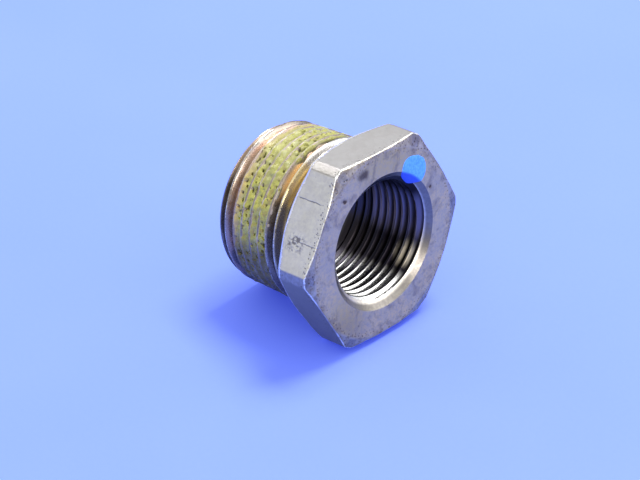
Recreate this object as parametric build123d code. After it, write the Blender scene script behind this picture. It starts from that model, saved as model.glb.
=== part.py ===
"""A 1 x 3/4 NPT hexagon reducing bushing, with cured sealant on its male thread and a paint mark.

The row frame: the origin is the centre of the hexagon's front face, where the female thread opens.
+X runs along the bore, out of that face. The hexagon has flats at +Z and -Z and corners at +Y and -Y.
Each piece is worked out along +Z, from the male end up to the front face, and then laid on +X.
"""

from build123d import *
import os
from math import atan, cos, degrees, radians, sin, tan

# Hexagon head
ACROSS_FLATS = 38.1  # 1-1/2 in bar
HEAD_THICKNESS = 9.14
BAR_DIAMETER = 42.9  # the bar's own round, which blunts the six corners
FRONT_CHAMFER_RADIUS = 19.0
FRONT_CHAMFER_ANGLE = 15.0
BACK_CHAMFER_RADIUS = 18.5
BACK_CHAMFER_ANGLE = 30.0

# Whole piece
OVERALL_LENGTH = 28.66
TAPER = 1 / 32  # radius gained per length: NPT tapers 1 in 16 on diameter
FLANK_ANGLE = 30.0
CUT_PAST = 0.06  # how far a thread cutter stands past the wall that it cuts
SPARE_STOCK = 6.0  # extra length at an end while threading, turned away afterwards
LEAD_IN = 3.0  # where in the spare stock the male groove starts
STOCK_RADIUS = 30.0  # past every part of the piece
WALL_SPLIT_RADIUS = 13.9  # inside the wall, clear of both threads

# 1 in, 11.5 threads per inch: the male thread
MALE_PITCH = 25.4 / 11.5
MALE_END_CREST_RADIUS = 16.3
MALE_DEPTH = 1.62
MALE_ROOT_WIDTH = 0.12
MALE_RIM_RADIUS = 15.37  # the end face, inside its chamfer
MALE_CHAMFER_LENGTH = 1.36
MALE_CREST = (-19.78, 164.3)  # one crest's height, and the angle about the bore where it has it

# Relief between the last male thread and the hexagon
NECK_RADIUS = 15.05
NECK_LENGTH = 2.1
GROOVE_INTO_NECK = 0.63  # how far the male groove's middle runs on past the start of the neck

# 3/4 in, 14 threads per inch: the female thread, in a straight hole drilled 59/64 in
FEMALE_PITCH = 25.4 / 14
BORE_RADIUS = 25.4 * 59 / 64 / 2
FEMALE_DEPTH = 1.27
FEMALE_ROOT_WIDTH = 0.14
FEMALE_LENGTH = 17.0
FEMALE_CREST = (-2.3, 10.0)
MOUTH_RADIUS = 13.83
MOUTH_HALF_ANGLE = 50.0
BORE_END_CHAMFER = 0.5

# Sealant, which fills four turns of the male thread's groove
SEALANT_FROM = -24.2
SEALANT_TO = -15.4
SEALANT_GAP = 0.03
SEALANT_BELOW_CREST = 0.08

# Paint mark, across the edge between the front face and the mouth
MARK_RADIUS = 3.2
MARK_CENTRE_RADIUS = 15.15
MARK_ANGLE = 53.8
PAINT_THICKNESS = 0.1


def revolved(*outline):
    """A solid turned about Z from its (radius, height) corners."""
    return revolve(Plane.XZ * make_face(Polyline(*outline, close=True)), Axis.Z)


def angle_about_z(angle_about_bore):
    """The angle from X about Z that becomes the given angle from +Y about the bore."""
    return angle_about_bore + 90


def male_crest_radius(height):
    return MALE_END_CREST_RADIUS + (height + OVERALL_LENGTH) * TAPER


def largest(piece):
    """The piece without the loose slivers that a cut across a thread leaves."""
    return piece.solids().sort_by(SortBy.VOLUME)[-1]


def helical_bar(pitch, bottom, top, tip_radius, tip_width, base_radius):
    """A tapered screw's groove as a solid bar, whose middle starts at bottom and on the X axis.

    Its section is a trapezium with its narrow side at tip_radius and its wide side at base_radius,
    both taken at height 0.
    """
    tip = tip_radius + bottom * TAPER
    base = base_radius + bottom * TAPER
    half_tip = tip_width / 2
    half_base = half_tip + abs(base - tip) * tan(radians(FLANK_ANGLE))
    section = Polyline(
        (tip, bottom - half_tip),
        (base, bottom - half_base),
        (base, bottom + half_base),
        (tip, bottom + half_tip),
        close=True,
    )
    path = Helix(pitch, top - bottom, tip, center=(0, 0, bottom), cone_angle=degrees(atan(TAPER)))
    return sweep(Plane.XZ * make_face(section), path, is_frenet=True)


def seam_away(stock):
    """Turned stock with the seam of its round faces opposite the side where a groove starts."""
    return Rot(0, 0, 180) * stock


def in_phase(piece, pitch, bottom, crest):
    """The threaded piece turned so that its crest has the crest's height at the crest's angle."""
    crest_height, crest_angle = crest
    turns = (bottom - crest_height) / pitch - 0.5
    return Rot(0, 0, angle_about_z(crest_angle) + 360 * turns) * piece


def bored(piece, radius):
    """The piece with a hole right through, along the bore."""
    return piece - Pos(0, 0, -OVERALL_LENGTH / 2) * Cylinder(radius, 2 * OVERALL_LENGTH)


def make_head():
    """The hexagon, with its corners blunted by the bar's round and chamfered front and back."""
    bar = BAR_DIAMETER / 2
    front_drop = (bar - FRONT_CHAMFER_RADIUS) * tan(radians(FRONT_CHAMFER_ANGLE))
    back_drop = (bar - BACK_CHAMFER_RADIUS) * tan(radians(BACK_CHAMFER_ANGLE))
    turned = revolved(
        (0, -HEAD_THICKNESS),
        (BACK_CHAMFER_RADIUS, -HEAD_THICKNESS),
        (bar, -HEAD_THICKNESS + back_drop),
        (bar, -front_drop),
        (FRONT_CHAMFER_RADIUS, 0),
        (0, 0),
    )
    hexagon = RegularPolygon(ACROSS_FLATS / 2, 6, major_radius=False, rotation=30)
    head = turned & extrude(Pos(0, 0, -HEAD_THICKNESS) * hexagon, HEAD_THICKNESS)
    return bored(head, WALL_SPLIT_RADIUS)


def end_trimmer():
    """What is turned away beyond the male end's face and its chamfer."""
    chamfer_end = -OVERALL_LENGTH + MALE_CHAMFER_LENGTH
    slope = MALE_CHAMFER_LENGTH / (male_crest_radius(chamfer_end) - MALE_RIM_RADIUS)
    beyond = -OVERALL_LENGTH - 2 * SPARE_STOCK
    return revolved(
        (0, beyond),
        (STOCK_RADIUS, beyond),
        (STOCK_RADIUS, -OVERALL_LENGTH + slope * (STOCK_RADIUS - MALE_RIM_RADIUS)),
        (MALE_RIM_RADIUS, -OVERALL_LENGTH),
        (0, -OVERALL_LENGTH),
    )


def make_shank():
    """The outer wall of the male end: overlong stock, threaded, then trimmed to length."""
    stock_end = -OVERALL_LENGTH - SPARE_STOCK
    neck_start = -HEAD_THICKNESS - NECK_LENGTH
    crest = male_crest_radius(neck_start)
    shoulder = neck_start - (crest - NECK_RADIUS) * tan(radians(FLANK_ANGLE))
    stock = revolved(
        (WALL_SPLIT_RADIUS, stock_end),
        (male_crest_radius(stock_end), stock_end),
        (male_crest_radius(shoulder), shoulder),
        (NECK_RADIUS, neck_start),
        (NECK_RADIUS, -HEAD_THICKNESS),
        (WALL_SPLIT_RADIUS, -HEAD_THICKNESS),
    )
    crest_at_face = male_crest_radius(0)
    groove_start = -OVERALL_LENGTH - LEAD_IN
    groove = helical_bar(
        MALE_PITCH,
        groove_start,
        neck_start + GROOVE_INTO_NECK,
        crest_at_face - MALE_DEPTH,
        MALE_ROOT_WIDTH,
        crest_at_face + CUT_PAST,
    )
    shank = largest(seam_away(stock) - groove - end_trimmer())
    return in_phase(shank, MALE_PITCH, groove_start, MALE_CREST)


def front_trimmer():
    """What is turned away in front of the head's face, and the coned mouth of the bore."""
    mouth_depth = (MOUTH_RADIUS - BORE_RADIUS) / tan(radians(MOUTH_HALF_ANGLE))
    return revolved(
        (0, -mouth_depth),
        (BORE_RADIUS, -mouth_depth),
        (MOUTH_RADIUS, 0),
        (STOCK_RADIUS, 0),
        (STOCK_RADIUS, 2 * SPARE_STOCK),
        (0, 2 * SPARE_STOCK),
    )


def make_bore_wall():
    """The inner wall: drilled, tapped right through the spare stock in front, then faced and coned."""
    stock = revolved(
        (BORE_RADIUS, -OVERALL_LENGTH),
        (WALL_SPLIT_RADIUS, -OVERALL_LENGTH),
        (WALL_SPLIT_RADIUS, SPARE_STOCK),
        (BORE_RADIUS, SPARE_STOCK),
    )
    groove = helical_bar(
        FEMALE_PITCH,
        -FEMALE_LENGTH,
        SPARE_STOCK - FEMALE_PITCH,
        BORE_RADIUS + FEMALE_DEPTH,
        FEMALE_ROOT_WIDTH,
        BORE_RADIUS - CUT_PAST,
    )
    end_chamfer = revolved(
        (0, -OVERALL_LENGTH),
        (BORE_RADIUS + BORE_END_CHAMFER, -OVERALL_LENGTH),
        (0, -OVERALL_LENGTH + BORE_RADIUS + BORE_END_CHAMFER),
    )
    wall = largest(seam_away(stock) - groove - front_trimmer() - end_chamfer)
    return in_phase(wall, FEMALE_PITCH, -FEMALE_LENGTH, FEMALE_CREST)


def make_body():
    """One machined piece. Its two threaded walls are worked out apart and are one metal."""
    outside = make_head() + make_shank()
    return outside + make_bore_wall()


def make_sealant():
    """A strip in the groove, clear of its root and flanks by the gap."""
    crest_at_face = male_crest_radius(0)
    narrowing = SEALANT_GAP * (1 / cos(radians(FLANK_ANGLE)) - tan(radians(FLANK_ANGLE)))
    strip = helical_bar(
        MALE_PITCH,
        SEALANT_FROM,
        SEALANT_TO,
        crest_at_face - MALE_DEPTH + SEALANT_GAP,
        MALE_ROOT_WIDTH - 2 * narrowing,
        crest_at_face - SEALANT_BELOW_CREST,
    )
    return in_phase(strip, MALE_PITCH, SEALANT_FROM, MALE_CREST)


def make_mark():
    """A round spot of paint that lies on the front face and on over the edge into the mouth."""
    slope = radians(MOUTH_HALF_ANGLE)
    mouth_depth = (MOUTH_RADIUS - BORE_RADIUS) / tan(slope)
    edge_inset = PAINT_THICKNESS * tan((radians(90) - slope) / 2)
    skin = revolved(
        (FRONT_CHAMFER_RADIUS, 0),
        (FRONT_CHAMFER_RADIUS, PAINT_THICKNESS),
        (MOUTH_RADIUS - edge_inset, PAINT_THICKNESS),
        (BORE_RADIUS - PAINT_THICKNESS * cos(slope), PAINT_THICKNESS * sin(slope) - mouth_depth),
        (BORE_RADIUS, -mouth_depth),
        (MOUTH_RADIUS, 0),
    )
    spot = extrude(Circle(MARK_RADIUS), 2 * mouth_depth, both=True)
    placed = Rot(0, 0, angle_about_z(MARK_ANGLE)) * Pos(MARK_CENTRE_RADIUS, 0, 0) * spot
    return skin & placed


def lay_on_bore(piece):
    """Turns +Z to +X."""
    return Rot(0, 90, 0) * piece


def main():
    os.makedirs("parts", exist_ok=True)
    pieces = {
        "bushing_body": make_body(),
        "thread_sealant": make_sealant(),
        "paint_mark": make_mark(),
    }
    for name, piece in pieces.items():
        export_step(lay_on_bore(piece), f"parts/{name}.step")


main()
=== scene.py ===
"""Blender scene for the hex reducing bushing: its detailed steel, sealant and paint, a floor and lights.

Lengths are in millimetres in the row frame, as in the CAD model, and become metres when a mesh is made.
The lights' sizes and distances are in metres.
Angles "about the bore" are measured from +Y towards +Z.
"""
from math import cos, radians, sin, tan

import bmesh
import bpy
import numpy as np
from mathutils import Euler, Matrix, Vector


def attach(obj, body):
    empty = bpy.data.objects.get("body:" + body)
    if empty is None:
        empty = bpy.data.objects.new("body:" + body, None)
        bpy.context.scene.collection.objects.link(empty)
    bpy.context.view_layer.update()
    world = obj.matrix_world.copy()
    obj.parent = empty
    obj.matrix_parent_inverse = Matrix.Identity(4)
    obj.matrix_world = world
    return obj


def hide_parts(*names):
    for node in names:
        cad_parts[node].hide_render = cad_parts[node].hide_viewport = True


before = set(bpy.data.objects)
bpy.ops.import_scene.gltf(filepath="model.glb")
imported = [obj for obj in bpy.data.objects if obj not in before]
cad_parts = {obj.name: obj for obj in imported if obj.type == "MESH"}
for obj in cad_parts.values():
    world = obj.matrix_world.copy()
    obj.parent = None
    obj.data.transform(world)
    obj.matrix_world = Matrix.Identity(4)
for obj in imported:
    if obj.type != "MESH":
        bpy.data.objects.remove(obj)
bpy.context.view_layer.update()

MM = 0.001

# The CAD model's own sizes. Each thread's crest passes through a point at an x and an angle about the bore.
ACROSS_FLATS = 38.1
HEAD_THICKNESS = 9.14
BAR_RADIUS = 21.45
BACK_CHAMFER_RADIUS = 18.5
OVERALL_LENGTH = 28.66
TAPER = 1 / 32
FLANK = tan(radians(30))
MALE_PITCH = 25.4 / 11.5
MALE_END_CREST = 16.3
MALE_DEPTH = 1.62
MALE_ROOT_HALF = 0.06
MALE_CREST_HALF = MALE_PITCH / 2 - MALE_ROOT_HALF - MALE_DEPTH * FLANK
MALE_RIM = 15.37
MALE_CHAMFER = 1.36
MALE_CREST = (-19.78, 164.3)
NECK_RADIUS = 15.05
NECK_START = -11.24
FEMALE_PITCH = 25.4 / 14
BORE_RADIUS = 25.4 * 59 / 128
FEMALE_DEPTH = 1.27
FEMALE_ROOT_HALF = 0.07
FEMALE_END = -17.0
FEMALE_CREST = (-2.3, 10.0)
MOUTH_RADIUS = 13.83
MOUTH_SLOPE = tan(radians(50))
BORE_END_CHAMFER = 0.5

# Where the turned front face stops and the corners' chamfer starts: a circle a little off the bore's centre
FACE_RADIUS = 19.0
FACE_OFFSET = 0.3
FACE_OFFSET_ANGLE = -115
FACE_INSIDE_SIDE = 0.06
FRONT_CHAMFER = tan(radians(15))
BACK_CHAMFER = tan(radians(30))

# One corner of the head is worn flat, up to where the cosine of the angle from it falls to its reach
WORN_CORNER_ANGLE = 300
WORN_CORNER_RADIUS = 21.12
WORN_CORNER_REACH = 0.9
CORNER_ROUND = 0.1

# How much each edge of the head is rounded off, and how unevenly
FACE_CREASE_CUT = 0.3
FRONT_CUT = 0.3
FRONT_CUT_UNEVEN = 0.07
NICK_CUT = 0.28
BACK_CUT = 0.8
BACK_CUT_UNEVEN = 0.16
BACK_RIM_CUT = 0.3
NECK_FILLET = 0.45

# The face's first row stands this far outside the mouth, so that the mouth's colour stops at the edge
MOUTH_LAND = 0.02

# The female thread fades out, and a plain bore follows
FADE_FROM = FEMALE_END - 1.6
FADE_TO = FEMALE_END + 0.6
PLAIN_BORE_TO = FEMALE_END - 1.8

# The threads' crests are a little worn, and their crests and roots are rounded off
MALE_MIDDLE_RADIUS = 16.5
MALE_WEAR_SIZE = 2.0
MALE_CREST_WEAR = 0.03
MALE_CREST_ROUND = 0.1
MALE_ROOT_ROUND = 0.12
MALE_END_ROUND = 0.08
NECK_ROUND = 0.15
FEMALE_ROUND = 0.05

# The band of sealant, whose hidden parts are just inside the steel
SEALANT_FROM = -24.3
SEALANT_TO = -15.3
SEALANT_MARGIN = 0.7
SEALANT_HIDDEN = 0.05
SEALANT_UNDERSIDE = 0.09

# The sealant's top: how far it sags on the crests and between them, its lumps, its holes and its ragged ends
SEALANT_SAG = 0.085
SEALANT_GROOVE_SAG = 0.22
SEALANT_LUMPS = 0.11
SEALANT_FINE_LUMPS = 0.06
SEALANT_HOLES = 0.5
SEALANT_RAGGED = 0.25

# What the sealant's material takes as thick, and as deeply sunk
SEALANT_THICK = 0.6
SEALANT_SUNK = 0.8

# Rows in each turn of a helix
MALE_STEPS = 14
FEMALE_STEPS = 18
SEALANT_STEPS = 16
SEALANT_UNDERSIDE_STEPS = 8

# The spot of paint
MARK_RADIUS = 3.2
MARK_CENTRE = 14.85
MARK_ANGLE = 52.0
MARK_THICKNESS = 0.09
MARK_EDGE_SUNK = 0.01
MARK_UNDERSIDE = 0.04

# The part lies on its side, on the head's back edge and on the male thread, so the floor rises towards -X
FLOOR_RADIUS = 1500
FLOOR_TILT = 8.33
FLOOR_TOUCH = (-8.82, -19.05)

# The room is darkest on the viewer's side. It dims between two cosines from that direction.
ROOM_DARK_SIDE = (0.97, -0.18, -0.15)
ROOM_DIMS_FROM = 0.72
ROOM_DIMS_TO = 0.97
ROOM_BRIGHT = 0.88
ROOM_DARK = 0.25

CAMERA_AIM = (-9.0, -8.2, 0.9)
CAMERA_DISTANCE = 547
CAMERA_AZIMUTH = 44.76
CAMERA_ELEVATION = 28.43
CAMERA_ROLL = -3.16
CAMERA_LENS = 162.6

# The parts of the body's surface that its material tells apart
BODY_ZONES = (
    "face", "chamfer", "facet", "back", "neck", "male", "end", "bore", "mouth",
    "groove", "crest", "wear", "crease", "land",
)


# ---------------------------------------------------------------- shape helpers

def blend(low, high, value):
    """0 below low, 1 above high, and smooth in between. low may be above high."""
    t = np.clip((value - low) / (high - low), 0, 1)
    return t * t * (3 - 2 * t)


def soft_min(a, b, width):
    """The smaller value, rounded off where the two are within width of each other."""
    h = np.clip(0.5 + 0.5 * (b - a) / width, 0, 1)
    return b + (a - b) * h - width * h * (1 - h)


def soft_max(a, b, width):
    return -soft_min(-a, -b, width)


def waves_round(theta, seed, lowest, highest):
    """A smooth random curve about the bore, roughly from -1 to 1."""
    rng = np.random.default_rng(seed)
    total = np.zeros_like(theta)
    for turns in range(lowest, highest):
        total += np.sin(turns * theta + rng.uniform(0, 2 * np.pi)) * rng.uniform(0.5, 1)
    return total / np.sqrt((highest - lowest) * 0.6)


def lumps(x, theta, seed, size):
    """Smooth random lumps of about the given size over the male thread, roughly from -1 to 1."""
    rng = np.random.default_rng(seed)
    total = np.zeros_like(x)
    count = 48
    for _ in range(count):
        heading = rng.uniform(0, 2 * np.pi)
        wave = 2 * np.pi / (size * rng.uniform(1.2, 3.2))
        turns = round(wave * sin(heading) * MALE_MIDDLE_RADIUS)
        total += np.sin(wave * cos(heading) * x + turns * theta + rng.uniform(0, 2 * np.pi))
    return total / np.sqrt(count / 2) / 1.6


def column_angles():
    """Angles about the bore, with a flat's middle at 30 degrees, closer together where a corner starts."""
    near_corner = [-29.3, -28.5, -27.95, -27.6, -27.36, -27.1, -26.75, -26.2, -25.5]
    middle = np.linspace(-24.8, 24.8, 62)
    sextant = np.concatenate([[-30.0], near_corner, middle, [-a for a in reversed(near_corner)]])
    return np.radians(np.concatenate([sextant + 30 + 60 * k for k in range(6)]))


THETA = column_angles()


def per_column(value):
    """A number, or an array that already has one value for each column, as such an array."""
    return np.broadcast_to(np.asarray(value, float), THETA.shape)


def clean_mesh(mesh, weld, thinnest=None):
    """Joins points closer than weld, drops edges shorter than thinnest, and turns every face outwards."""
    work = bmesh.new()
    work.from_mesh(mesh)
    bmesh.ops.remove_doubles(work, verts=work.verts, dist=weld)
    if thinnest:
        bmesh.ops.dissolve_degenerate(work, edges=work.edges, dist=thinnest)
    bmesh.ops.recalc_face_normals(work, faces=work.faces)
    work.to_mesh(mesh)
    work.free()
    mesh.shade_smooth()


class Shell:
    """A closed surface built from rows of points about the bore. Rows follow the section's outline."""

    def __init__(self):
        self.x, self.r, self.marks, self.wrap = [], [], [], []

    def ring(self, x, r, **marks):
        """A row that meets itself after one turn."""
        self.x.append(per_column(x))
        self.r.append(per_column(r))
        self.marks.append(marks)
        self.wrap.append(None)

    def helix(self, start, end, pitch, steps, radius, mark):
        """Rows that follow a thread from start to end. radius and mark are functions of x and theta.

        A row's end meets the start of the row one turn on.
        """
        low, high = min(start, end), max(start, end)
        count = int(np.ceil((high - low) / pitch * steps)) + steps
        rows = [
            np.clip(low - pitch + (i / steps + THETA / (2 * np.pi)) * pitch, low, high)
            for i in range(count + 1)
        ]
        shift = steps
        if end < start:
            rows.reverse()
            shift = -steps
        first = len(self.x)
        last = first + len(rows) - 1
        for i, x in enumerate(rows):
            self.x.append(x)
            self.r.append(radius(x, THETA))
            self.marks.append(mark(x, THETA))
            self.wrap.append(int(np.clip(first + i + shift, first, last)))

    def build(self, name, zones):
        """The closed mesh, with the lathe's coordinates and the marks of each zone as attributes."""
        x, r = np.array(self.x), np.array(self.r)
        rows, columns = x.shape
        points = np.stack([x, r * np.cos(THETA), r * np.sin(THETA)], -1) * MM
        index = np.arange(rows * columns).reshape(rows, columns)
        target = [i if w is None else w for i, w in enumerate(self.wrap)]
        after = np.concatenate([index[:, 1:], index[target, :1]], axis=1)
        quads = np.stack([index, after, np.roll(after, -1, 0), np.roll(index, -1, 0)], -1)
        mesh = bpy.data.meshes.new(name)
        mesh.from_pydata(points.reshape(-1, 3).tolist(), [], quads.reshape(-1, 4).tolist())
        self.write_lathe(mesh, x, r)
        for zone in zones:
            values = np.array([per_column(marks.get(zone, 0.0)) for marks in self.marks])
            layer = mesh.attributes.new(zone, "FLOAT", "POINT")
            layer.data.foreach_set("value", values.astype(np.float32).ravel())
        clean_mesh(mesh, weld=2e-6, thinnest=1e-6)
        mesh.set_sharp_from_angle(angle=radians(38))
        return mesh

    def write_lathe(self, mesh, x, r):
        """Coordinates for turned patterns: the way along the section, and a circle about the bore."""
        steps = np.hypot(np.diff(x.mean(1)), np.diff(r.mean(1)))
        way = np.concatenate([[0], np.cumsum(steps)])[:, None]
        parts = (way, 4 * np.cos(THETA), 4 * np.sin(THETA))
        lathe = np.stack([np.broadcast_to(part, x.shape) for part in parts], -1)
        layer = mesh.attributes.new("lathe", "FLOAT_VECTOR", "POINT")
        layer.data.foreach_set("vector", lathe.astype(np.float32).ravel())


def place_piece(name, mesh, node):
    piece = bpy.data.objects.new(name, mesh)
    bpy.context.scene.collection.objects.link(piece)
    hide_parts(node)
    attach(piece, "root")
    return piece


# ---------------------------------------------------------------- the body's surfaces

def male_crest(x):
    """The tapered male thread's crest radius."""
    return MALE_END_CREST + (x + OVERALL_LENGTH) * TAPER


def male_phase(x, theta):
    """Turns away from the nearest crest, from -0.5 to 0.5."""
    turns = (x - MALE_CREST[0]) / MALE_PITCH - (theta - radians(MALE_CREST[1])) / (2 * np.pi)
    return turns - np.round(turns)


def male_radius(x, theta):
    """The male thread, with the chamfer at its end and the shoulder down to the neck."""
    away = np.abs(male_phase(x, theta)) * MALE_PITCH
    crest = male_crest(x) - MALE_CREST_WEAR * (1 + lumps(x, theta, 3, MALE_WEAR_SIZE))
    flank = male_crest(x) - (away - MALE_CREST_HALF) / FLANK
    root = male_crest(x) - MALE_DEPTH
    thread = soft_max(soft_min(crest, flank, MALE_CREST_ROUND), root, MALE_ROOT_ROUND)
    cone_slope = (MALE_END_CREST + MALE_CHAMFER * TAPER - MALE_RIM) / MALE_CHAMFER
    cone = MALE_RIM + (x + OVERALL_LENGTH) * cone_slope
    shoulder = NECK_RADIUS + (NECK_START - x) / FLANK
    inside = soft_min(soft_min(thread, cone, MALE_END_ROUND), shoulder, NECK_ROUND)
    return np.where(x <= -OVERALL_LENGTH, np.minimum(thread, cone), inside)


def female_radius(x, theta):
    """The female thread, cut into the bore, with the cone at its mouth."""
    turns = (x - FEMALE_CREST[0]) / FEMALE_PITCH - (theta - radians(FEMALE_CREST[1])) / (2 * np.pi)
    away = (0.5 - np.abs(turns - np.round(turns))) * FEMALE_PITCH
    root = BORE_RADIUS + (FEMALE_DEPTH + x * TAPER) * blend(FADE_FROM, FADE_TO, x)
    flank = root - np.maximum(away - FEMALE_ROOT_HALF, 0) / FLANK
    thread = soft_max(soft_min(root, flank, FEMALE_ROUND), BORE_RADIUS, FEMALE_ROUND)
    cone = MOUTH_RADIUS + x * MOUTH_SLOPE
    return np.where(x >= 0, MOUTH_RADIUS, soft_max(thread, cone, FEMALE_ROUND))


def corner_radius(theta):
    """The bar's round, which blunts the hexagon's corners, with one corner worn flatter than the others."""
    toward_worn = np.cos(theta - radians(WORN_CORNER_ANGLE))
    worn_flat = WORN_CORNER_RADIUS / np.maximum(toward_worn, WORN_CORNER_REACH)
    return np.minimum(BAR_RADIUS, worn_flat)


def side_radius(theta):
    """The hexagon's outline with its blunted corners."""
    sextant = np.mod(theta, radians(60)) - radians(30)
    return soft_min(ACROSS_FLATS / 2 / np.cos(sextant), corner_radius(theta), CORNER_ROUND)


def rounded_path(points, cuts, spans, arc_steps=5):
    """Rows along a polyline of (x, r) points, with its inner corners rounded off by the given cut lengths.

    Yields x, r, the corner's index or None, the leg's index, and the way from 0 to 1 along the leg or round
    the corner.
    """
    points = [np.array([per_column(value) for value in point]) for point in points]
    lengths = [np.hypot(*(b - a)) + 1e-9 for a, b in zip(points, points[1:])]
    ins, outs = {}, {}
    for k in range(1, len(points) - 1):
        before, after = points[k - 1] - points[k], points[k + 1] - points[k]
        ins[k] = points[k] + before / lengths[k - 1] * np.minimum(cuts[k - 1], 0.45 * lengths[k - 1])
        outs[k] = points[k] + after / lengths[k] * np.minimum(cuts[k - 1], 0.45 * lengths[k])
    for k in range(len(points) - 1):
        start = outs.get(k, points[k])
        end = ins.get(k + 1, points[k + 1])
        for i in range(0 if k == 0 else 1, spans[k] + 1):
            t = i / spans[k]
            x, r = start * (1 - t) + end * t
            yield x, r, None, k, t
        if k + 1 in ins:
            a, b, c = ins[k + 1], points[k + 1], outs[k + 1]
            for i in range(1, arc_steps):
                t = i / arc_steps
                x, r = a * (1 - t) ** 2 + b * 2 * t * (1 - t) + c * t * t
                yield x, r, k + 1, k, t
            x, r = c
            yield x, r, None, k + 1, 0.0


def head_rows(shell):
    """The head, from the mouth's edge over the face, the flats and the back to the neck."""
    side = side_radius(THETA)
    eccentric = FACE_RADIUS + FACE_OFFSET * np.cos(THETA - radians(FACE_OFFSET_ANGLE))
    face = np.minimum(eccentric, side - FACE_INSIDE_SIDE)
    front_drop = (side - face) * FRONT_CHAMFER
    back_drop = (side - BACK_CHAMFER_RADIUS) * BACK_CHAMFER
    back = -HEAD_THICKNESS
    nicks = np.clip(waves_round(THETA, 21, 30, 90) - 0.9, 0, 1.2)
    front_cut = FRONT_CUT + FRONT_CUT_UNEVEN * waves_round(THETA, 22, 6, 40) + NICK_CUT * nicks
    back_cut = BACK_CUT + BACK_CUT_UNEVEN * waves_round(THETA, 23, 5, 30)
    outline = [
        (0, MOUTH_RADIUS),
        (0, face),
        (-front_drop, side),
        (back + back_drop, side),
        (back, BACK_CHAMFER_RADIUS),
        (back, NECK_RADIUS),
        (NECK_START, NECK_RADIUS),
    ]
    cuts = [FACE_CREASE_CUT, front_cut, back_cut, BACK_RIM_CUT, NECK_FILLET]
    spans = [12, 4, 12, 4, 5, 5]
    zones = ["face", "chamfer", "facet", "back", "back", "neck"]
    crease_corner, edge_corners = 1, (2, 3)
    # The land is where the bar's round cuts off the hexagon's corners
    side_legs = (1, 2, 3)
    land = blend(0.06, -0.02, corner_radius(THETA) - 0.03 - side)
    for number, (x, r, corner, leg, t) in enumerate(rounded_path(outline, cuts, spans)):
        if number == 0:
            r = r + MOUTH_LAND
        if corner is None:
            marks = {zones[leg]: 1.0}
        else:
            marks = {zones[leg]: 1 - t}
            marks[zones[leg + 1]] = marks.get(zones[leg + 1], 0) + t
            middle = 1 - abs(2 * t - 1)
            if corner in edge_corners:
                marks["wear"] = middle
            if corner == crease_corner:
                marks["crease"] = middle
        if leg in side_legs:
            marks["land"] = land
        shell.ring(x, r, **marks)


def male_marks(x, theta):
    depth = male_crest(x) - male_radius(x, theta)
    return {"male": 1.0, "groove": np.clip(depth / MALE_DEPTH, 0, 1), "crest": blend(0.08, 0.02, depth)}


def female_marks(x, theta):
    radius = female_radius(x, theta)
    cone = MOUTH_RADIUS + x * MOUTH_SLOPE
    on_cone = blend(0.02, 0.0, radius - cone) * blend(BORE_RADIUS - 0.1, BORE_RADIUS + 0.05, cone)
    return {"bore": 1.0, "mouth": on_cone, "groove": np.clip((radius - BORE_RADIUS) / FEMALE_DEPTH, 0, 1)}


def male_end_rows(shell):
    """The flat end of the shank and the chamfer into the bore."""
    rim = male_radius(np.full_like(THETA, -OVERALL_LENGTH), THETA)
    inner = BORE_RADIUS + BORE_END_CHAMFER
    for t in (0.1, 0.25, 0.5, 0.75, 0.92):
        shell.ring(-OVERALL_LENGTH, rim + (inner - rim) * t, end=1.0)
    for t in (0.0, 0.5, 1.0):
        cut = BORE_END_CHAMFER * t
        shell.ring(-OVERALL_LENGTH + cut, inner - cut, end=1.0, wear=0.6 * (1 - abs(2 * t - 1)))


def make_body():
    shell = Shell()
    head_rows(shell)
    shell.helix(NECK_START, -OVERALL_LENGTH, MALE_PITCH, MALE_STEPS, male_radius, male_marks)
    male_end_rows(shell)
    plain_from = -OVERALL_LENGTH + BORE_END_CHAMFER
    for t in np.linspace(0.02, 0.98, 10):
        shell.ring(plain_from + (PLAIN_BORE_TO - plain_from) * t, BORE_RADIUS, bore=1.0)
    shell.helix(PLAIN_BORE_TO, 0.0, FEMALE_PITCH, FEMALE_STEPS, female_radius, female_marks)
    mesh = shell.build("bushing_steel", BODY_ZONES)
    return place_piece("bushing_steel", mesh, "bushing_body")


# ---------------------------------------------------------------- the sealant

def sealant_radius(x, theta):
    """The lumpy top of the sealant: near the crests' level, sunk between them, ragged at both ends."""
    away = np.abs(male_phase(x, theta)) * 2
    between = np.sin(away * np.pi / 2) ** 2 * (1 + 0.5 * lumps(x, theta, 11, 1.6))
    sag = SEALANT_SAG + SEALANT_LUMPS * lumps(x, theta, 15, 2.2) + SEALANT_GROOVE_SAG * between
    fine = SEALANT_FINE_LUMPS * lumps(x, theta, 12, 0.9)
    crowd = 0.35 * lumps(x, theta, 16, 4.0)
    off_crest = blend(0.1, 0.3, away)
    holes = SEALANT_HOLES * blend(0.75, 1.15, lumps(x, theta, 13, 0.6) + crowd) * off_crest
    top = male_crest(x) - sag + fine - holes
    ragged = SEALANT_RAGGED * waves_round(theta, 14, 4, 40)
    low, high = SEALANT_FROM + ragged, SEALANT_TO - ragged
    inside = blend(low - SEALANT_RAGGED, low + SEALANT_RAGGED, x)
    inside = inside * blend(high + SEALANT_RAGGED, high - SEALANT_RAGGED, x)
    hidden = male_radius(x, theta) - SEALANT_HIDDEN
    return hidden * (1 - inside) + np.maximum(top, hidden) * inside


def sealant_underside(x, theta):
    return male_radius(x, theta) - SEALANT_UNDERSIDE


def sealant_marks(x, theta):
    top = sealant_radius(x, theta)
    cover = (top - male_radius(x, theta)) / SEALANT_THICK
    sunk = (male_crest(x) - top) / SEALANT_SUNK
    return {"cover": np.clip(cover, 0, 1), "sunk": np.clip(sunk, 0, 1)}


def no_marks(x, theta):
    return {}


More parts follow.
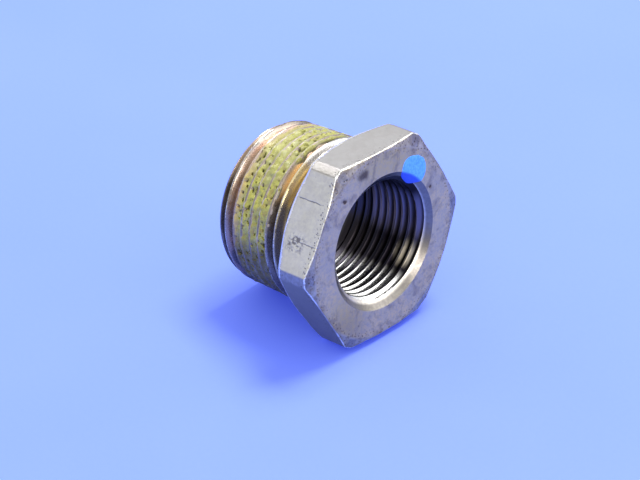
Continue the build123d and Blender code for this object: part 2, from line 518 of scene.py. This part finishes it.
def make_sealant():
    low, high = SEALANT_FROM - SEALANT_MARGIN, SEALANT_TO + SEALANT_MARGIN
    shell = Shell()
    shell.helix(low, high, MALE_PITCH, SEALANT_STEPS, sealant_radius, sealant_marks)
    shell.helix(high, low, MALE_PITCH, SEALANT_UNDERSIDE_STEPS, sealant_underside, no_marks)
    mesh = shell.build("sealant_band", ("cover", "sunk"))
    return place_piece("sealant_band", mesh, "thread_sealant")


# ---------------------------------------------------------------- the paint

def make_mark():
    """A thin domed film with an uneven edge, over the face and down into the mouth."""
    around = 120
    spokes = np.linspace(0, 2 * np.pi, around, endpoint=False)
    edge = MARK_RADIUS - 0.45 * np.sin(2 * spokes) + 0.14 * np.sin(3 * spokes)
    edge = edge + 0.05 * waves_round(spokes, 31, 3, 12)
    share = np.append(np.linspace(0, 0.9, 24), np.linspace(0.92, 1.0, 6))[:, None]
    angle = radians(MARK_ANGLE)
    y = MARK_CENTRE * cos(angle) + share * edge * np.cos(spokes)
    z = MARK_CENTRE * sin(angle) + share * edge * np.sin(spokes)
    radius = np.hypot(y, z)
    base = np.minimum((radius - MOUTH_RADIUS) / MOUTH_SLOPE, 0.0)
    lift = MARK_THICKNESS * np.sqrt(np.clip(1 - share ** 6, 0, 1)) - MARK_EDGE_SUNK
    lift = lift * (1 + 0.12 * waves_round(spokes, 32, 1, 5) * share)
    layers = [np.stack([x, y, z], -1).reshape(-1, 3) * MM for x in (base + lift, base - MARK_UNDERSIDE)]
    under = len(layers[0])
    last_ring = under - around
    faces = []
    for ring in range(0, last_ring, around):
        for j in range(around):
            a, b = ring + j, ring + (j + 1) % around
            faces.append((a, b, b + around, a + around))
            faces.append((under + a, under + a + around, under + b + around, under + b))
    for j in range(around):
        a, b = last_ring + j, last_ring + (j + 1) % around
        faces.append((a, b, under + b, under + a))
    mesh = bpy.data.meshes.new("paint_spot")
    mesh.from_pydata(np.concatenate(layers).tolist(), [], faces)
    clean_mesh(mesh, weld=1e-7)
    return place_piece("paint_spot", mesh, "paint_mark")


# ---------------------------------------------------------------- material helpers

def grey(value):
    return (value, value, value)


def srgb(red, green, blue):
    """A colour from the usual 0 to 255 values."""
    def linear(v):
        v /= 255
        return v / 12.92 if v <= 0.04045 else ((v + 0.055) / 1.055) ** 2.4
    return tuple(linear(v) for v in (red, green, blue))


def direction(degrees):
    """The direction across the bore at an angle about it."""
    return (0, cos(radians(degrees)), sin(radians(degrees)))


class Recipe:
    """Builds one material's nodes. Any value can be given as a number, a colour or a node socket."""

    def __init__(self, name):
        self.material = bpy.data.materials.new(name)
        self.material.use_nodes = True
        self.tree = self.material.node_tree
        self.shader = self.tree.nodes["Principled BSDF"]
        coordinates = self.tree.nodes.new("ShaderNodeTexCoord")
        self.mm = self.scaled(coordinates.outputs["Object"], (1 / MM, 1 / MM, 1 / MM))

    def node(self, kind, inputs, output=0, **settings):
        made = self.tree.nodes.new(kind)
        for key, value in settings.items():
            setattr(made, key, value)
        for key, value in inputs.items():
            self.put(made.inputs[key], value)
        return made.outputs[output]

    def put(self, socket, value):
        if isinstance(value, bpy.types.NodeSocket):
            self.tree.links.new(value, socket)
        elif socket.type == "RGBA" and len(value) == 3:
            socket.default_value = (*value, 1)
        else:
            socket.default_value = value

    def set(self, **sockets):
        """Fills the shader's own sockets."""
        for key, value in sockets.items():
            self.put(self.shader.inputs[key.replace("_", " ").title().replace("Ior", "IOR")], value)

    def attribute(self, name, output="Fac"):
        made = self.tree.nodes.new("ShaderNodeAttribute")
        made.attribute_name = name
        return made.outputs[output]

    def math(self, operation, a, b=0.0):
        return self.node("ShaderNodeMath", {0: a, 1: b}, operation=operation)

    def times(self, first, *others):
        product = first
        for value in others:
            product = self.math("MULTIPLY", product, value)
        return product

    def most(self, first, *others):
        highest = first
        for value in others:
            highest = self.math("MAXIMUM", highest, value)
        return highest

    def plus(self, a, b):
        return self.math("ADD", a, b)

    def minus(self, a, b):
        return self.math("SUBTRACT", a, b)

    def distance(self, a, b):
        return self.math("ABSOLUTE", self.minus(a, b))

    def step(self, value, low, high):
        """0 where value is below low, 1 where it is above high. low may be above high."""
        inputs = {"Value": value, "From Min": low, "From Max": high}
        return self.node("ShaderNodeMapRange", inputs, interpolation_type="SMOOTHSTEP", clamp=True)

    def within(self, value, low, high, edge):
        """1 between low and high, 0 outside them, and smooth for the width edge on both sides of each."""
        above_low = self.step(value, low - edge, low + edge)
        below_high = self.step(value, high + edge, high - edge)
        return self.times(above_low, below_high)

    def span(self, value, low, high):
        """A value from 0 to 1 moved to run from low to high."""
        return self.node("ShaderNodeMapRange", {"Value": value, "To Min": low, "To Max": high}, clamp=True)

    def mix(self, factor, a, b):
        """a where factor is 0, b where it is 1, both colours."""
        made = self.tree.nodes.new("ShaderNodeMix")
        made.data_type = "RGBA"
        colour_a, colour_b, colour_out = 6, 7, 2
        for socket, value in ((0, factor), (colour_a, a), (colour_b, b)):
            self.put(made.inputs[socket], value)
        return made.outputs[colour_out]

    def vector(self, operation, a, b=(0, 0, 0), output=0):
        return self.node("ShaderNodeVectorMath", {0: a, 1: b}, output, operation=operation)

    def scaled(self, vector, scale):
        return self.vector("MULTIPLY", vector, scale)

    def dot(self, vector, toward):
        return self.vector("DOT_PRODUCT", vector, toward, "Value")

    def length(self, vector):
        return self.vector("LENGTH", vector, output="Value")

    def across(self):
        """The place across the bore, with no X."""
        return self.scaled(self.mm, (0, 1, 1))

    def along(self):
        """X in millimetres."""
        return self.node("ShaderNodeSeparateXYZ", {0: self.mm}, "X")

    def height(self):
        """Z in millimetres."""
        return self.node("ShaderNodeSeparateXYZ", {0: self.mm}, "Z")

    def noise(self, vector, scale=1.0, detail=3.0, roughness=0.55, distortion=0.0):
        inputs = {"Vector": vector, "Scale": scale, "Detail": detail}
        inputs.update({"Roughness": roughness, "Distortion": distortion})
        return self.node("ShaderNodeTexNoise", inputs)

    def cells(self, vector, scale):
        """The distance from the nearest of many scattered points."""
        return self.node("ShaderNodeTexVoronoi", {"Vector": vector, "Scale": scale})

    def spot(self, centre, size, vector, soft=0.35):
        """1 inside an ellipsoid about a point in millimetres, 0 outside it."""
        near = self.scaled(self.vector("SUBTRACT", vector, centre), tuple(1 / s for s in size))
        return self.step(self.length(near), 1 + soft, 1 - soft)

    def bump(self, height, strength, distance):
        inputs = {"Height": height, "Strength": strength, "Distance": distance * MM}
        return self.node("ShaderNodeBump", inputs)


# ---------------------------------------------------------------- the steel

class SteelRecipe(Recipe):
    """The steel's recipe, with the body's zones, places on it and the patterns that its parts share."""

    def __init__(self):
        super().__init__("plated_steel")
        for zone in BODY_ZONES:
            setattr(self, zone, self.attribute(zone))
        self.lathe = self.attribute("lathe", "Vector")
        shake = self.node("ShaderNodeTexNoise", {"Vector": self.mm, "Scale": 1.1, "Detail": 3.0}, "Color")
        self.wobbly = self.vector("ADD", self.mm, self.scaled(shake, grey(0.9)))

        self.cloud = self.noise(self.mm, 0.22, 4.0, 0.6)
        self.mottle = self.noise(self.mm, 1.3, 5.0, 0.65, 0.4)
        self.patchy = self.step(self.mottle, 0.35, 0.65)
        self.grain = self.noise(self.mm, 7.0, 3.0, 0.7)
        self.film = self.noise(self.scaled(self.lathe, grey(0.5)), 1.0, 3.0, 0.5, 0.8)
        self.knocks = self.noise(self.mm, 3.2, 4.0, 0.75)

        self.x, self.z = self.along(), self.height()
        self.radius = self.length(self.across())
        about = self.vector("NORMALIZE", self.across())
        self.below = self.dot(about, (0, -0.14, -0.99))
        self.right = self.dot(about, direction(0))
        self.upper = self.dot(about, direction(113))
        self.upper_left = self.dot(about, direction(129))

        # Masks for the bore's painted light and shade: its bottom, a pale patch near the mouth, and far in
        # away from the bottom.
        self.low_bore = self.step(self.below, 0.72, 0.92)
        self.painted_light_patch = self.times(
            self.spot((-3.0, 10.6, -7.6), (2.0, 2.6, 2.4), self.wobbly, 0.6),
            self.step(self.groove, 0.75, 0.4),
        )
        self.deep = self.times(self.step(self.x, -12.0, -15.0), self.step(self.below, 0.85, 0.7))
        self.sealed = self.times(self.within(self.x, -24.35, -15.25, 0.25), self.male)

    def flat_at(self, degrees, low=18.6, high=18.95):
        """1 on the flat at an angle about the bore, and 0 on the others."""
        return self.step(self.dot(self.mm, direction(degrees)), low, high)


def head_colour(m):
    """A warm violet-grey turned face, paler drawn flats and chamfers, and darker land at the corners. The
    top flat, the flat at 30 degrees and the flats below the middle are painted darker, as painted shade.
    """
    face = m.mix(m.step(m.cloud, 0.35, 0.65), (0.74, 0.545, 0.26), (0.60, 0.48, 0.28))
    face = m.mix(m.times(m.step(m.mottle, 0.42, 0.70), 0.5), face, (0.42, 0.34, 0.22))
    tanned = m.most(
        m.spot((0, 2.0, 17.0), (2.0, 8.0, 3.5), m.wobbly, 0.7),
        m.spot((0, -11.5, -11.0), (2.0, 5.0, 5.0), m.wobbly, 0.7),
    )
    face = m.mix(m.times(tanned, 0.75), face, (0.66, 0.47, 0.16))
    flats = m.mix(m.step(m.cloud, 0.3, 0.7), (0.66, 0.64, 0.55), (0.69, 0.67, 0.60))
    # Painted shade: the top flat, the flat at 30 degrees and the lower flats are painted darker.
    flats = m.mix(m.flat_at(90), flats, (0.42, 0.41, 0.41))
    flats = m.mix(m.flat_at(30), flats, (0.32, 0.305, 0.275))
    flats = m.mix(m.step(m.z, 0.5, -1.5), flats, (0.36, 0.33, 0.25))
    chamfers = m.mix(m.patchy, (0.42, 0.36, 0.25), (0.56, 0.49, 0.37))
    land = m.mix(m.patchy, (0.22, 0.21, 0.20), (0.34, 0.32, 0.31))
    colour = m.mix(m.facet, face, flats)
    colour = m.mix(m.chamfer, colour, chamfers)
    return m.mix(m.times(m.land, 0.85), colour, land)


def thread_colour(m):
    """Thin films on the plating turn it tan, pink, violet and green. Away from upper left it is painted dark
    brown, as painted shade.
    """
    warm = m.mix(m.step(m.film, 0.35, 0.62), (0.44, 0.36, 0.26), (0.46, 0.35, 0.33))
    cool = m.mix(m.step(m.film, 0.4, 0.6), (0.40, 0.34, 0.38), (0.38, 0.39, 0.33))
    colour = m.mix(m.step(m.cloud, 0.4, 0.62), warm, cool)
    # Painted shade: dark brown everywhere but a band at the top, where the highlights fall.
    return m.mix(m.times(m.step(m.upper, 0.97, 0.91), 0.85), colour, (0.18, 0.15, 0.125))


def groove_colour(m):
    """The male thread's grooves: tan at the top, gold beside the neck at upper left, and dark brown painted
    shade below.
    """
    gold = m.times(m.step(m.upper_left, 0.94, 0.97), m.step(m.x, -16.5, -15.5))
    colour = m.mix(gold, (0.56, 0.45, 0.35), (0.92, 0.66, 0.34))
    # Painted shade: the grooves are dark brown below the top.
    return m.mix(m.step(m.z, 12.0, 8.0), colour, (0.16, 0.13, 0.105))


def neck_colour(m):
    """Olive, a painted highlight in pale silver along the top, and gold with a dark line at upper left."""
    golden = m.times(m.step(m.upper_left, 0.945, 0.985), m.span(m.mottle, 0.75, 1.2))
    colour = m.mix(m.patchy, (0.46, 0.39, 0.26), (0.34, 0.29, 0.19))
    colour = m.mix(golden, colour, (1.0, 0.80, 0.40))
    # Painted highlight: pale silver along the top of the neck.
    painted_highlight_band = m.times(m.step(m.upper_left, 0.975, 0.94), m.step(m.z, 13.4, 14.4))
    colour = m.mix(painted_highlight_band, colour, (0.88, 0.86, 0.82))
    dark_line = m.within(m.x, -12.625, -12.125, 0.125)
    return m.mix(m.times(dark_line, golden, 0.8), colour, (0.16, 0.09, 0.04))


def bore_colour(m):
    """Near-black painted shade over most of the bore, darkest far in away from the bottom. Painted light
    along the bottom, on a paler band on the +Y side and on a patch near the mouth.
    """
    colour = m.mix(m.step(m.cloud, 0.35, 0.65), (0.014, 0.012, 0.016), (0.010, 0.008, 0.014))
    colour = m.mix(m.step(m.groove, 0.12, 0.0), colour, (0.022, 0.020, 0.027))
    # Painted light: a paler band on the +Y side of the bore.
    colour = m.mix(m.step(m.right, 0.86, 1.0), colour, (0.16, 0.14, 0.18))
    # Painted light and shade along the bottom: the flanks painted bright, the crests painted dark.
    painted_light_and_shade_bottom = m.mix(m.step(m.groove, 0.16, 0.04), (0.92, 0.91, 0.89), (0.03, 0.027, 0.035))
    colour = m.mix(m.low_bore, colour, painted_light_and_shade_bottom)
    # Painted light: a pale patch near the mouth.
    colour = m.mix(m.times(m.painted_light_patch, 0.5), colour, (0.86, 0.77, 0.60))
    # Painted shade: darkest far in, away from the bottom.
    colour = m.mix(m.times(m.deep, 0.8), colour, (0.02, 0.017, 0.02))
    return m.mix(m.step(m.x, -19.0, -22.0), colour, (0.20, 0.19, 0.18))


def clean_steel_colour(m):
    """The steel's colour in each zone, without the dirt and the wear."""
    neck = neck_colour(m)
    mouth = m.mix(m.patchy, (0.92, 0.86, 0.76), (0.74, 0.68, 0.62))
    run_out = m.times(m.male, m.step(m.x, -13.9, -13.2))
    colour = m.mix(m.most(m.male, m.back, m.end), head_colour(m), thread_colour(m))
    colour = m.mix(m.neck, colour, neck)
    colour = m.mix(m.bore, colour, bore_colour(m))
    colour = m.mix(m.mouth, colour, mouth)
    colour = m.mix(m.times(m.male, m.step(m.groove, 0.1, 0.6), 0.9), colour, groove_colour(m))
    colour = m.mix(run_out, colour, neck)
    near_end = m.times(m.step(m.x, -26.6, -25.6), m.step(m.x, -23.4, -24.2))
    pink = m.times(near_end, m.male, m.step(m.film, 0.4, 0.55))
    colour = m.mix(m.times(pink, 0.5), colour, (0.90, 0.58, 0.42))
    # Painted shade in the roots of the bore's thread.
    return m.mix(m.times(m.bore, m.step(m.groove, 0.5, 1.0), 0.75), colour, (0.03, 0.025, 0.03))


def pits(m):
    """Dark pits on the head: some at set places, and specks of two sizes in patches."""
    patches = m.step(m.noise(m.mm, 0.45, 2.0), 0.52, 0.6)
    specks = m.times(m.step(m.cells(m.wobbly, 0.9), 0.16, 0.07), patches)
    fine_patches = m.step(m.noise(m.mm, 0.7, 2.0), 0.5, 0.58)
    fine_specks = m.times(m.step(m.cells(m.wobbly, 2.3), 0.16, 0.08), fine_patches)
    rough_spot = m.times(m.spot((0, -4.4, 16.5), (0.8, 1.35, 0.85), m.wobbly), m.step(m.grain, 0.35, 0.6))
    found = m.most(
        m.times(rough_spot, 0.5),
        m.spot((0, -9.8, 13.2), (0.8, 0.55, 0.5), m.wobbly),
        m.spot((0, 13.7, 6.9), (0.8, 0.4, 0.45), m.wobbly),
        m.spot((0, 18.0, 11.0), (1.0, 0.45, 0.5), m.wobbly),
        m.times(specks, 0.8),
        m.times(fine_specks, 0.6),
    )
    return m.times(found, m.most(m.face, m.chamfer, m.times(m.facet, 0.35), m.times(m.land, 0.8)))


def edge_specks(m):
    """Specks gathered beside the head's front edge."""
    rim = m.times(m.face, m.step(m.radius, 17.0, 19.0))
    near_edge = m.most(m.times(m.facet, m.step(m.x, -2.4, -0.9)), m.chamfer, rim)
    patches = m.step(m.noise(m.mm, 0.8, 2.0), 0.32, 0.44)
    specks = m.step(m.cells(m.wobbly, 1.7), 0.34, 0.20)
    return m.times(specks, patches, near_edge, 0.85)


def crease_dirt(m):
    """Broken dark stretches along the crease between the face and its chamfers."""
    return m.times(m.crease, m.step(m.mottle, 0.38, 0.6), m.step(m.noise(m.mm, 0.13, 1.0), 0.46, 0.56))


def seams_and_stain(m):
    """Two seams in the drawn bar and a grey stain, on the flat that faces up and to -Y."""
    on_flat = m.times(m.flat_at(150, 18.9, 19.0), m.facet)
    side = m.dot(m.mm, direction(240))
    waver = m.times(m.minus(m.noise(m.mm, 0.8, 2.0), 0.5), 0.5)

    def seam(place, low, high):
        line = m.step(m.distance(m.plus(side, waver), place), 0.14, 0.03)
        return m.times(line, m.within(m.x, low, high, 0.4), on_flat)

    seams = m.most(seam(-4.2, -7.6, -2.0), seam(3.7, -6.6, -0.4))
    stain = m.times(m.step(m.distance(side, 4.2), 2.2, 0.9), on_flat, m.step(m.mottle, 0.44, 0.6))
    stain = m.times(stain, m.step(m.x, -7.6, -6.4), m.step(m.x, -2.4, -4.2))
    return m.times(m.most(seams, stain), 0.75)


def dirt(m):
    """Thin brown dirt in clouds over the head, more of it towards the edge."""
    blotch = m.noise(m.wobbly, 0.32, 4.0, 0.65, 0.6)
    outer = m.step(m.radius, 16.5, 21.0)
    cover = m.step(m.plus(blotch, m.times(outer, 0.12)), 0.48, 0.70)
    patch = m.times(m.spot((0, -11.0, -15.0), (2.0, 5.0, 5.0), m.wobbly, 0.6), m.span(m.mottle, 0.3, 0.8))
    return m.times(m.most(cover, patch), m.most(m.face, m.chamfer, m.times(m.facet, 0.2)), 0.52)


def bright_metal(m):
    """Bare metal on the head's knocked edges, broken up near the front, and on the thread's bare crests."""
    knocked = m.plus(m.wear, m.times(m.minus(m.knocks, 0.5), 2.4))
    edges = m.times(m.step(knocked, 0.3, 0.6), m.step(m.wear, 0.0, 0.1))
    gaps = m.times(m.step(m.noise(m.mm, 1.1, 3.0, 0.6), 0.46, 0.38), m.step(m.x, -5.0, -3.5))
    edges = m.times(edges, m.span(gaps, 1.0, 0.2))
    crests = m.times(m.crest, m.male, m.minus(1.0, m.sealed))
    crests = m.times(crests, m.step(m.knocks, 0.42, 0.6), m.span(m.step(m.right, 0.1, -0.3), 0.3, 1.0))
    return m.most(edges, crests)


def steel_colour(m, grime, bright):
    """The colour of each zone, with sealant's traces, dirt and wear over it, and painted shade low down on
    the sealed thread.
    """
    traces = m.mix(m.patchy, (0.26, 0.22, 0.16), (0.30, 0.23, 0.20))
    dull = m.times(m.step(m.mottle, 0.3, 0.75), m.minus(1.0, m.bore), 0.35)
    smudge = m.times(m.spot((0, -4.4, 16.5), (1.0, 1.5, 1.0), m.wobbly, 0.5), m.face)
    colour = m.mix(m.times(m.sealed, 0.85), clean_steel_colour(m), traces)
    # Painted shade: the sealed thread is darker low down.
    colour = m.mix(m.times(m.sealed, m.step(m.z, 2.0, -12.0), 0.6), colour, (0.10, 0.09, 0.08))
    colour = m.mix(dull, colour, (0.42, 0.40, 0.42))
    colour = m.mix(dirt(m), colour, (0.16, 0.12, 0.11))
    colour = m.mix(m.times(smudge, m.span(m.grain, 0.6, 1.0)), colour, (0.06, 0.048, 0.05))
    colour = m.mix(m.times(grime, 0.9), colour, (0.05, 0.04, 0.05))
    return m.mix(m.times(bright, 0.9), colour, (0.92, 0.92, 0.90))


def steel_roughness(m, grime, bright):
    bore = m.mix(m.painted_light_patch, m.span(m.low_bore, 0.36, 0.2), grey(0.48))
    rough = m.mix(m.most(m.face, m.chamfer), grey(0.30), grey(0.40))
    rough = m.mix(m.facet, rough, grey(0.42))
    rough = m.mix(m.most(m.male, m.neck, m.end), rough, grey(0.28))
    rough = m.mix(m.bore, rough, m.mix(m.mouth, bore, grey(0.34)))
    rough = m.plus(rough, m.times(m.minus(m.mottle, 0.5), 0.25))
    rough = m.mix(m.times(grime, 0.8), rough, grey(0.75))
    rough = m.mix(bright, rough, grey(0.33))
    rough = m.mix(m.sealed, rough, grey(0.5))
    return m.mix(m.times(m.bore, m.deep), rough, grey(0.30))


def steel_height(m, grime):
    """Turning marks on the turned zones, drawing marks along the flats, grain, and sunk grime."""
    turning = m.noise(m.scaled(m.lathe, (9, 0.5, 0.5)), 1.0, 2.0, 0.6)
    drawing = m.noise(m.scaled(m.mm, (0.12, 4, 4)), 1.0, 3.0, 0.6)
    height = m.times(turning, m.most(m.face, m.chamfer, m.male, m.bore, m.neck), 0.25)
    height = m.plus(height, m.times(drawing, m.facet, 0.35))
    height = m.plus(height, m.times(m.grain, m.span(m.most(m.male, m.neck), 0.18, 0.07)))
    height = m.plus(height, m.times(m.mottle, 0.35))
    return m.minus(height, m.times(grime, 1.6))


def steel_material():
    """Plated steel: turned face, drawn flats, iridescent threads, dirt, pits and bright worn edges."""
    m = SteelRecipe()
    grime = m.most(pits(m), edge_specks(m), m.times(crease_dirt(m), 0.6), seams_and_stain(m))
    bright = bright_metal(m)
    m.set(
        base_color=steel_colour(m, grime, bright),
        roughness=steel_roughness(m, grime, bright),
        metallic=1.0,
        normal=m.bump(steel_height(m, grime), 0.6, 0.04),
    )
    return m.material


# ---------------------------------------------------------------- the other materials

def sealant_colour(m, mottle, cover):
    """Yellow-green with brown and greyish patches, tan where it's thin, and painted shade that makes it
    darker low down.
    """
    brown = m.step(m.noise(m.mm, 0.6, 3.0, 0.6, 0.6), 0.52, 0.64)
    greyish = m.step(m.noise(m.mm, 0.35, 3.0), 0.52, 0.64)
    colour = m.mix(m.step(mottle, 0.32, 0.68), (0.46, 0.46, 0.08), (0.33, 0.30, 0.055))
    colour = m.mix(m.times(brown, 0.7), colour, (0.27, 0.19, 0.06))
    colour = m.mix(m.times(greyish, 0.6), colour, (0.27, 0.28, 0.13))
    colour = m.mix(m.times(m.step(m.along(), -22.6, -24.3), 0.55), colour, (0.62, 0.40, 0.22))
    colour = m.mix(m.step(cover, 0.3, 0.04), colour, (0.42, 0.36, 0.32))
    colour = m.mix(m.times(m.step(m.height(), 9.0, 15.0), 0.5), colour, (0.26, 0.26, 0.09))
    # Painted shade: darker low down.
    return m.mix(m.times(m.step(m.height(), 3.5, -3.5), 0.94), colour, (0.085, 0.072, 0.02))


def sealant_material():
    """Dried thread sealant, mottled, with pits of two sizes, painted shade in its deeper hollows, and some
    glossy patches.
    """
    m = Recipe("cured_sealant")
    mottle = m.noise(m.mm, 1.8, 4.0, 0.65, 0.5)
    grain = m.noise(m.mm, 6.0, 3.0, 0.7)
    # Painted shade: the deeper hollows are painted dark.
    shaded_hollows = m.step(m.attribute("sunk"), 0.5, 0.85)
    coarse = m.times(m.step(m.cells(m.mm, 1.05), 0.33, 0.16), m.step(m.noise(m.mm, 0.5, 2.0), 0.5, 0.6))
    fine = m.times(m.step(m.cells(m.mm, 2.6), 0.26, 0.12), m.step(m.noise(m.mm, 0.8, 2.0), 0.48, 0.58))
    dark = m.most(shaded_hollows, coarse, m.times(fine, 0.8))
    glossy = m.step(m.noise(m.mm, 0.75, 2.0), 0.54, 0.60)
    height = m.plus(m.times(mottle, 0.8), m.times(grain, 0.3))
    height = m.minus(height, m.times(coarse, 1.2))
    colour = sealant_colour(m, mottle, m.attribute("cover"))
    m.set(
        base_color=m.mix(m.times(dark, 0.85), colour, (0.07, 0.065, 0.02)),
        roughness=m.mix(glossy, m.span(mottle, 0.2, 0.56), grey(0.12)),
        specular_ior_level=0.6,
        normal=m.bump(height, 0.7, 0.12),
    )
    return m.material


def paint_material():
    """Azure paint, with painted shade in deeper blue on the mouth's cone."""
    m = Recipe("azure_paint")
    mottle = m.noise(m.mm, 2.0, 3.0)
    colour = m.mix(m.step(mottle, 0.3, 0.7), srgb(68, 136, 248), srgb(92, 164, 253))
    # Painted shade: deeper blue where the paint runs down the mouth's cone.
    on_cone = m.step(m.length(m.across()), 14.1, 13.4)
    colour = m.mix(on_cone, colour, srgb(36, 78, 215))
    m.set(base_color=colour, roughness=m.span(mottle, 0.3, 0.5), normal=m.bump(mottle, 0.3, 0.05))
    return m.material


def floor_material():
    """Smooth pale blue card that glows blue, a painted light that keeps it blue in the shade."""
    m = Recipe("pale_blue_card")
    tone = m.noise(m.mm, 0.02, 2.0)
    colour = m.mix(tone, (0.20, 0.31, 0.93), (0.23, 0.34, 0.95))
    m.set(base_color=colour, roughness=m.span(m.noise(m.mm, 1.0, 2.0), 0.6, 0.8))
    # Painted light: the floor glows blue, though it is no lamp.
    m.set(emission_color=(0.04, 0.07, 1.0), emission_strength=0.4)
    return m.material


# ---------------------------------------------------------------- floor, lights and camera

def make_floor():
    mesh = bpy.data.meshes.new("floor")
    work = bmesh.new()
    bmesh.ops.create_circle(work, cap_ends=True, radius=FLOOR_RADIUS * MM, segments=96)
    work.to_mesh(mesh)
    work.free()
    mesh.materials.append(floor_material())
    floor = bpy.data.objects.new("floor", mesh)
    floor.rotation_euler = (0, radians(FLOOR_TILT), 0)
    floor.location = (FLOOR_TOUCH[0] * MM, 0, FLOOR_TOUCH[1] * MM)
    bpy.context.scene.collection.objects.link(floor)


def make_room():
    """An even grey-white room that gets darker towards one side."""
    world = bpy.data.worlds.new("studio")
    bpy.context.scene.world = world
    world.use_nodes = True
    nodes, links = world.node_tree.nodes, world.node_tree.links
    place = nodes.new("ShaderNodeTexCoord")
    toward = nodes.new("ShaderNodeVectorMath")
    toward.operation = "DOT_PRODUCT"
    toward.inputs[1].default_value = ROOM_DARK_SIDE
    ramp = nodes.new("ShaderNodeMapRange")
    ramp.interpolation_type = "SMOOTHSTEP"
    ramp.inputs["From Min"].default_value = ROOM_DIMS_FROM
    ramp.inputs["From Max"].default_value = ROOM_DIMS_TO
    ramp.inputs["To Min"].default_value = ROOM_BRIGHT
    ramp.inputs["To Max"].default_value = ROOM_DARK
    links.new(place.outputs["Generated"], toward.inputs[0])
    links.new(toward.outputs["Value"], ramp.inputs["Value"])
    links.new(ramp.outputs["Result"], nodes["Background"].inputs["Strength"])
    nodes["Background"].inputs["Color"].default_value = (0.98, 1.0, 1.0, 1)


def make_softbox(name, toward, distance, size, power, colour=(1, 1, 1), only=None):
    """A rectangular light that faces the origin. It lights the collection given as only, or everything."""
    light = bpy.data.lights.new(name, "AREA")
    light.shape = "RECTANGLE"
    light.size, light.size_y = size
    light.energy = power
    light.color = colour
    lamp = bpy.data.objects.new(name, light)
    away = Vector(toward).normalized()
    lamp.location = away * distance
    lamp.rotation_euler = away.to_track_quat("Z", "Y").to_euler()
    lamp.visible_camera = False
    lamp.light_linking.receiver_collection = only
    bpy.context.scene.collection.objects.link(lamp)


def make_lights(part):
    """A softbox overhead, and smaller ones that light the part alone, so that it has one shadow."""
    make_softbox("key_softbox", (0.07, 0.40, 0.91), 1.5, (0.55, 0.55), 17.0)
    make_softbox("side_softbox", (0.67, 0.62, 0.40), 0.8, (0.80, 0.30), 2.0, only=part)
    make_softbox("back_softbox", (-0.61, 0.13, 0.78), 0.8, (0.40, 0.16), 2.1, only=part)
    make_softbox("front_softbox", (0.87, -0.27, 0.41), 0.9, (0.36, 0.26), 3.0, (1.0, 0.96, 0.9), only=part)


def make_camera():
    data = bpy.data.cameras.new("camera")
    data.sensor_width = 36
    data.lens = CAMERA_LENS
    data.clip_start = 0.01
    data.clip_end = 20
    camera = bpy.data.objects.new("camera", data)
    azimuth, elevation = radians(CAMERA_AZIMUTH), radians(CAMERA_ELEVATION)
    back = Vector((sin(azimuth) * cos(elevation), -cos(azimuth) * cos(elevation), sin(elevation)))
    turn = back.to_track_quat("Z", "Y") @ Euler((0, 0, radians(CAMERA_ROLL))).to_quaternion()
    camera.rotation_euler = turn.to_euler()
    camera.location = Vector(CAMERA_AIM) * MM + back * CAMERA_DISTANCE * MM
    bpy.context.scene.collection.objects.link(camera)
    bpy.context.scene.camera = camera


def make_part():
    """The three pieces with their materials, in a collection that the softboxes can light alone."""
    part = bpy.data.collections.new("part")
    for piece, material in (
        (make_body(), steel_material()),
        (make_sealant(), sealant_material()),
        (make_mark(), paint_material()),
    ):
        piece.data.materials.append(material)
        part.objects.link(piece)
    return part


def main():
    part = make_part()
    make_floor()
    make_room()
    make_lights(part)
    make_camera()
    bpy.context.scene.view_settings.view_transform = "Standard"


main()
